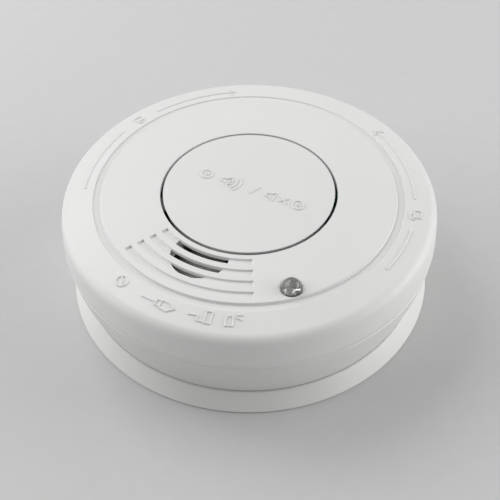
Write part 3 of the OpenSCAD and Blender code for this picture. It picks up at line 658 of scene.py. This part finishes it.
def vent_grooves(cover):
    """Pushes the groove faces in, and rounds their rims and floors."""
    near, slack, level_slack = 0.1, 0.05, 0.01
    outer_r = VENT_R + VENT_PITCH * VENT_COUNT

    def at_end(a):
        return min(abs(a - VENT_FROM), abs(a - VENT_TO)) < near

    def in_groove(p):
        r, a = polar(p)
        lane = (r - VENT_R) % VENT_PITCH
        return (abs(p.z - Z_TOP) < level_slack and VENT_R < r < outer_r
                and lane < VENT_W and VENT_FROM < a < VENT_TO)

    def at_wall(p):
        r, a = polar(p)
        lane = (r - VENT_R + slack) % VENT_PITCH
        on_arc = lane < near or abs(lane - VENT_W) < near
        inside = VENT_R - slack < r < outer_r and VENT_FROM - near < a < VENT_TO + near
        return inside and (on_arc or (at_end(a) and lane < VENT_W + near))

    def wall_edge(level):
        def test(p, q):
            flat = abs(p.z - level) < level_slack and abs(q.z - level) < level_slack
            if not (flat and at_wall(p) and at_wall(q)):
                return False
            (r0, a0), (r1, a1) = polar(p), polar(q)
            along = abs(r0 - r1) < 0.02
            across = abs(a0 - a1) < 0.02 and at_end(a0)
            span = abs(r0 - r1) < VENT_W + slack and (min(r0, r1) - VENT_R + slack) % VENT_PITCH < near
            return along or (across and span)
        return test

    pick_faces(cover, in_groove)
    bpy.ops.mesh.extrude_region_move(TRANSFORM_OT_translate={"value": (0, 0, -VENT_DEPTH * MM)})
    done()
    for level, width in ((Z_TOP, 0.12), (Z_TOP - VENT_DEPTH, 0.2)):
        pick_edges(cover, wall_edge(level))
        bpy.ops.mesh.bevel(offset=width * MM, segments=3, affect="EDGES", clamp_overlap=True)
        done()


def vent_cutter():
    """The sounder's mouth, kept only inside the grooves: what it leaves of the groove floors is
    open."""
    mouth = disc("mouth", [(HORN_MOUTH_R, Z_UNDER - 1), (HORN_MOUTH_R, Z_TOP - VENT_DEPTH + 0.3)],
                 at=(HORN.x, HORN.y), steps=120)
    lanes = []
    inset = 0.02
    for i in range(VENT_COUNT):
        ri = VENT_R + VENT_PITCH * i + inset
        ro = ri + VENT_W - 2 * inset
        lanes.append(turned("lane", [(ri, Z_UNDER - 2), (ro, Z_UNDER - 2), (ro, Z_TOP + 1), (ri, Z_TOP + 1)],
                            steps=TURN_STEPS, turn=TURN_START))
    return boolean(mouth, joined("lanes", lanes), "INTERSECT")


def make_cover():
    cover = turned("cover_shell", cover_outline(), steps=TURN_STEPS, turn=TURN_START)
    vent_grooves(cover)
    cut(cover, vent_cutter())
    pocket_r = HORN_MOUTH_R - 0.05
    cut(cover, disc("pocket", [(pocket_r, Z_UNDER - 1), (pocket_r, Z_TOP - VENT_RIB)],
                    at=(HORN.x, HORN.y), steps=120))
    # Light well round the LED, its mouth flared in a small round
    well, step = LED_R + 0.15, 0.1
    flare = [(well + step + FLARE_R - FLARE_R * math.cos(math.radians(a)),
              Z_TOP - FLARE_R + FLARE_R * math.sin(math.radians(a))) for a in range(0, 91, 15)]
    cut(cover, disc("well", [(well, Z_UNDER - 1)] + flare + [(flare[-1][0], Z_TOP + 1)],
                    at=(LED.x, LED.y), steps=96))
    # Bosses for the case screws, and the collar that leads sound to the grooves
    core_r, z_boss_top = 0.2, Z_TOP - 1.5
    boss = rounded([(core_r, Z_BOSS, 0), (BOSS_R, Z_BOSS, 0.2), (BOSS_R, z_boss_top, 0),
                    (core_r, z_boss_top, 0)])
    for a in BOSS_ANGLES:
        at = (BOSS_DIST * math.cos(math.radians(a)), BOSS_DIST * math.sin(math.radians(a)))
        fused(cover, disc("boss", boss, at=at, steps=48))
        cut(cover, disc("pilot", [(PILOT_R, Z_BOSS - 1), (PILOT_R, SCREW_TIP + 0.5)], at=at, steps=32))
    z_collar, z_collar_top = Z_HORN_TOP + 0.2, Z_UNDER + 0.3
    collar_r = HORN_MOUTH_R + COLLAR_WALL
    collar = turned("collar", [(HORN_MOUTH_R, z_collar), (collar_r, z_collar), (collar_r, z_collar_top),
                               (HORN_MOUTH_R, z_collar_top)], at=(HORN.x, HORN.y), steps=96)
    cut(collar, disc("clear_of_button", [(HOLE_R + 0.6, Z_HORN_TOP - 1), (HOLE_R + 0.6, Z_TOP)], steps=120))
    fused(cover, collar)
    fused(cover, *band_signs())
    return finished(weighted(smooth(cover)), "cover")


# ---------------------------------------------------------------- test button

def make_button():
    """The disc with its skirt, its post over the contact pill, and three barbed hooks with a rib
    each."""
    core_r, skirt_inner_r, z_disc_under = 0.5, SKIRT_R - SKIRT_WALL, Z_SKIRT + SKIRT_DEPTH
    section = [(core_r, Z_BUTTON, 0), (BUTTON_R, Z_BUTTON, 0.1), (BUTTON_R - 0.02, Z_BUTTON - 0.2, 0),
               (SKIRT_R, Z_BUTTON - 1.1, 0), (SKIRT_R, Z_SKIRT, 0.2), (skirt_inner_r, Z_SKIRT, 0.2),
               (skirt_inner_r, z_disc_under, 0.3), (core_r, z_disc_under, 0)]
    button = disc("button_cap", rounded(section), steps=240)
    post_foot, z_hook = high("contact_pill").z, low("test_button").z
    leg_height, rib_height = Z_SKIRT + 0.6 - z_hook, 2.2
    fused(button, disc("post", [(POST_R, post_foot), (POST_R, Z_BUTTON - 0.8)], steps=64))
    for a in HOOK_ANGLES:
        fused(button,
              block("leg", (0.9, HOOK_WIDTH, leg_height),
                    (SKIRT_R - 0.55, 0, z_hook + leg_height / 2), a, 0.1),
              block("barb", (3.1, HOOK_WIDTH, BARB_HEIGHT),
                    (BUTTON_R + 0.3, 0, z_hook + BARB_HEIGHT / 2), a, 0.15),
              block("rib", (BUTTON_R - 4, 1, rib_height),
                    (BUTTON_R / 2 + 1.2, 0, Z_SKIRT + rib_height / 2), a, 0.1))
    fused(button, *button_signs())
    return finished(weighted(smooth(button)), "test_button")


# ---------------------------------------------------------------- indicator LED

def make_led():
    """The clear body, cast in one: flange, barrel and dome."""
    dome = [(LED_R * math.cos(math.radians(a)), LED_TIP - LED_R + LED_R * math.sin(math.radians(a)))
            for a in range(0, 88, 3)]
    body = rounded([(0.3, LED_FOOT, 0), (LED_R + 0.4, LED_FOOT, 0.1), (LED_R + 0.4, LED_FOOT + 1, 0.1),
                    (LED_R, LED_FOOT + 1, 0)]) + dome
    led = disc("led_body", body, at=(LED.x, LED.y), steps=96)
    return finished(smooth(led, 50), "indicator_led")


def make_led_legs():
    """Two legs, which end inside the clear body: one as a post, the other as an anvil with the
    chip's cup."""
    cup_z = LED_TIP - LED_R - 1.2
    legs = [block("leg", (0.5, 0.5, top - Z_BOARD_TOP), (LED.x + x, LED.y, (top + Z_BOARD_TOP) / 2), 0, 0.06)
            for x, top in ((-LEG_PITCH / 2, cup_z - 0.9), (LEG_PITCH / 2, cup_z + 0.3))]
    anvil = block("anvil", (1.3, 0.5, 1.2), (LED.x - 0.75, LED.y, cup_z - 1.0), 0, 0.1)
    bowl = [(0.35, cup_z - 0.5, 0), (0.7, cup_z - 0.5, 0.1), (0.9, cup_z + 0.2, 0.05),
            (0.75, cup_z + 0.2, 0.05), (0.4, cup_z - 0.2, 0)]
    cup = disc("cup", rounded(bowl), at=(LED.x - 0.2, LED.y), steps=48)
    post = block("post", (0.9, 0.4, 0.9), (LED.x + 0.95, LED.y, cup_z + 0.2), 0, 0.1)
    return finished(smooth(fused(legs[0], anvil, cup, legs[1], post)), "led_leads")


def make_led_seat():
    """White spacer that holds the LED off the board."""
    core_r, seat_r, seat_top = 0.3, LED_R + 0.35, LED_FOOT - 0.02
    section = [(core_r, Z_BOARD_TOP, 0), (seat_r, Z_BOARD_TOP, 0.1), (seat_r, seat_top, 0.1),
               (core_r, seat_top, 0)]
    seat = disc("led_seat", rounded(section), at=(LED.x, LED.y), steps=64)
    cut(seat, *[block("leg_hole", (0.6, 0.6, 3), (LED.x + x, LED.y, LED_FOOT))
                for x in (-LEG_PITCH / 2, LEG_PITCH / 2)])
    seat.data.materials.append(MATERIALS["housing_plastic"])
    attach(seat, "head")
    return smooth(seat)


# ---------------------------------------------------------------- springs

def coil(name, r, wire, length, place):
    """An open coil of four turns along +Z from its foot, set in its place. The wire is given by its
    radius."""
    steps_per_turn = 24
    count = 4 * steps_per_turn
    angles = [2 * math.pi * i / steps_per_turn for i in range(count + 1)]
    points = [(r * math.cos(a), r * math.sin(a), wire + (length - 2 * wire) * i / count)
              for i, a in enumerate(angles)]
    piece = tube(points, radius=wire)
    piece.name = name
    piece.matrix_world = place
    return smooth(done(), 60)


def make_springs():
    """The button's spring, and the flag's, along its pin."""
    lo, hi = low("return_spring"), high("return_spring")
    foot = Matrix.Translation(((lo.x + hi.x) / 2 * MM, (lo.y + hi.y) / 2 * MM, lo.z * MM))
    wire = 0.25
    spring = coil("button_spring", (hi.x - lo.x) / 2 - wire, wire, hi.z - lo.z, foot)
    finished(spring, "return_spring")
    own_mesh(spring)
    lo, hi = low("flag_spring"), high("flag_spring")
    along_pin = (Matrix.Translation((lo.x * MM, (lo.y + hi.y) / 2 * MM, (lo.z + hi.z) / 2 * MM))
                 @ Matrix.Rotation(math.pi / 2, 4, "Y"))
    wire = 0.2
    finished(coil("flag_coil", (hi.z - lo.z) / 2 - wire, wire, hi.x - lo.x, along_pin), "flag_spring")


# ---------------------------------------------------------------- the other pieces

def moulded_copy(node, width):
    """The CAD piece, its triangles merged into whole faces, with a small rounding on its edges."""
    nothing_selected()
    source = NODES[node]
    source.select_set(True)
    bpy.context.view_layer.objects.active = source
    bpy.ops.object.duplicate()
    piece = bpy.context.object
    piece.parent = None
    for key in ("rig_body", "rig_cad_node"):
        if key in piece:
            del piece[key]
    piece.name = node + "_finished"
    if piece.data.has_custom_normals:
        bpy.ops.mesh.customdata_custom_splitnormals_clear()
    editing(piece)
    bpy.ops.mesh.select_all(action="SELECT")
    bpy.ops.mesh.remove_doubles(threshold=2e-6)
    bpy.ops.mesh.dissolve_limited(angle_limit=math.radians(0.3))
    done()
    soften(piece, width)
    return finished(weighted(smooth(piece)), node)


# Rounding of the edges of each piece that keeps its CAD shape, in mm
ROUNDING = {
    "mounting_base": 0.06, "back_housing": 0.04, "contact_pill": 0.08, "circuit_board": 0.1,
    "controller_ic": 0.12, "ic_leads": 0.04, "capacitors": 0.4, "resistors": 0.06, "horn_coil": 0.2,
    "test_pads": 0.02, "battery_contacts": 0.08, "horn_housing": 0.15, "horn_cap": 0.2, "piezo_plate": 0.03,
    "piezo_ceramic": 0.03, "chamber_base": 0.2, "chamber_cap": 0.12, "insect_screen": 0.04,
    "case_screws": 0.12, "board_screws": 0.12, "battery_case": 0.35, "battery_plate": 0.2,
    "battery_terminals": 0.15, "battery_flag": 0.2, "flag_pin": 0.15, "rating_label": 0.02,
    "ir_emitter": 0.1, "photodiode": 0.1,
}

make_cover()
make_button()
make_led()
make_led_legs()
make_led_seat()
make_springs()
for node, width in ROUNDING.items():
    moulded_copy(node, width)


# ---------------------------------------------------------------- studio

def make_floor():
    """A plain pale sheet, a hair below the base."""
    nothing_selected()
    bpy.ops.mesh.primitive_plane_add(size=6, location=(0, 0, -0.05 * MM))
    floor = bpy.context.object
    floor.name = "floor"
    material, shader, place = new_material("paper_matt", IOR=1.45, Roughness=0.7)
    fibre = add(material, "ShaderNodeTexNoise", {"Vector": place, "Scale": 1 / (4 * MM), "Detail": 3.0})
    add(material, "ShaderNodeMix", {0: fibre, 6: linear("#C9C9C9"), 7: linear("#CDCDCD")},
        [(shader, "Base Color")], data_type="RGBA")
    floor.data.materials.append(material)


def lamp(name, place, target, size, power):
    """A soft box that faces its target. Places in metres."""
    light = bpy.data.lights.new(name, "AREA")
    light.shape = "RECTANGLE"
    light.size, light.size_y = size
    light.energy = power
    box = bpy.data.objects.new(name, light)
    bpy.context.scene.collection.objects.link(box)
    box.location = place
    box.rotation_euler = (Vector(target) - Vector(place)).to_track_quat("-Z", "Y").to_euler()


def make_lights():
    """Soft boxes to both sides, two behind and above, and a low strip that lifts the right side."""
    middle = (0, 0, 0.015)
    lamp("left_box", (-0.55, 0.06, 0.28), middle, (0.5, 0.4), 1.72)
    lamp("right_box", (0.55, 0.10, 0.28), middle, (0.5, 0.4), 1.55)
    lamp("back_box", (0.0, 0.65, 0.45), middle, (0.8, 0.4), 0.53)
    lamp("back_left_box", (-0.38, 0.38, 0.58), middle, (0.5, 0.5), 2.3)
    lamp("right_strip", (0.6, -0.15, 0.16), middle, (0.6, 0.2), 1.2)
    world = bpy.data.worlds.new("studio")
    world.use_nodes = True
    world.node_tree.nodes["Background"].inputs["Color"].default_value = (1, 1, 1, 1)
    world.node_tree.nodes["Background"].inputs["Strength"].default_value = 0.3
    bpy.context.scene.world = world


def make_camera():
    """A 65 mm view from 47 degrees above, rolled by a degree, as a product shot on a table."""
    elevation, roll = math.radians(46.63), math.radians(-0.92)
    back = Vector((0, -math.cos(elevation), math.sin(elevation)))
    right, up = Vector((1, 0, 0)), Vector((0, math.sin(elevation), math.cos(elevation)))
    across = right * math.cos(roll) + up * math.sin(roll)
    above = up * math.cos(roll) - right * math.sin(roll)
    data = bpy.data.cameras.new("camera")
    data.lens, data.sensor_width = 64.8, 36
    data.clip_start, data.clip_end = 0.01, 20
    camera = bpy.data.objects.new("camera", data)
    bpy.context.scene.collection.objects.link(camera)
    turn = Matrix((across, above, back)).transposed().to_4x4()
    camera.matrix_world = Matrix.Translation(Vector((0.03, -178.5, 195.8)) * MM) @ turn
    bpy.context.scene.camera = camera


make_floor()
make_lights()
make_camera()
bpy.context.scene.view_settings.view_transform = "Standard"
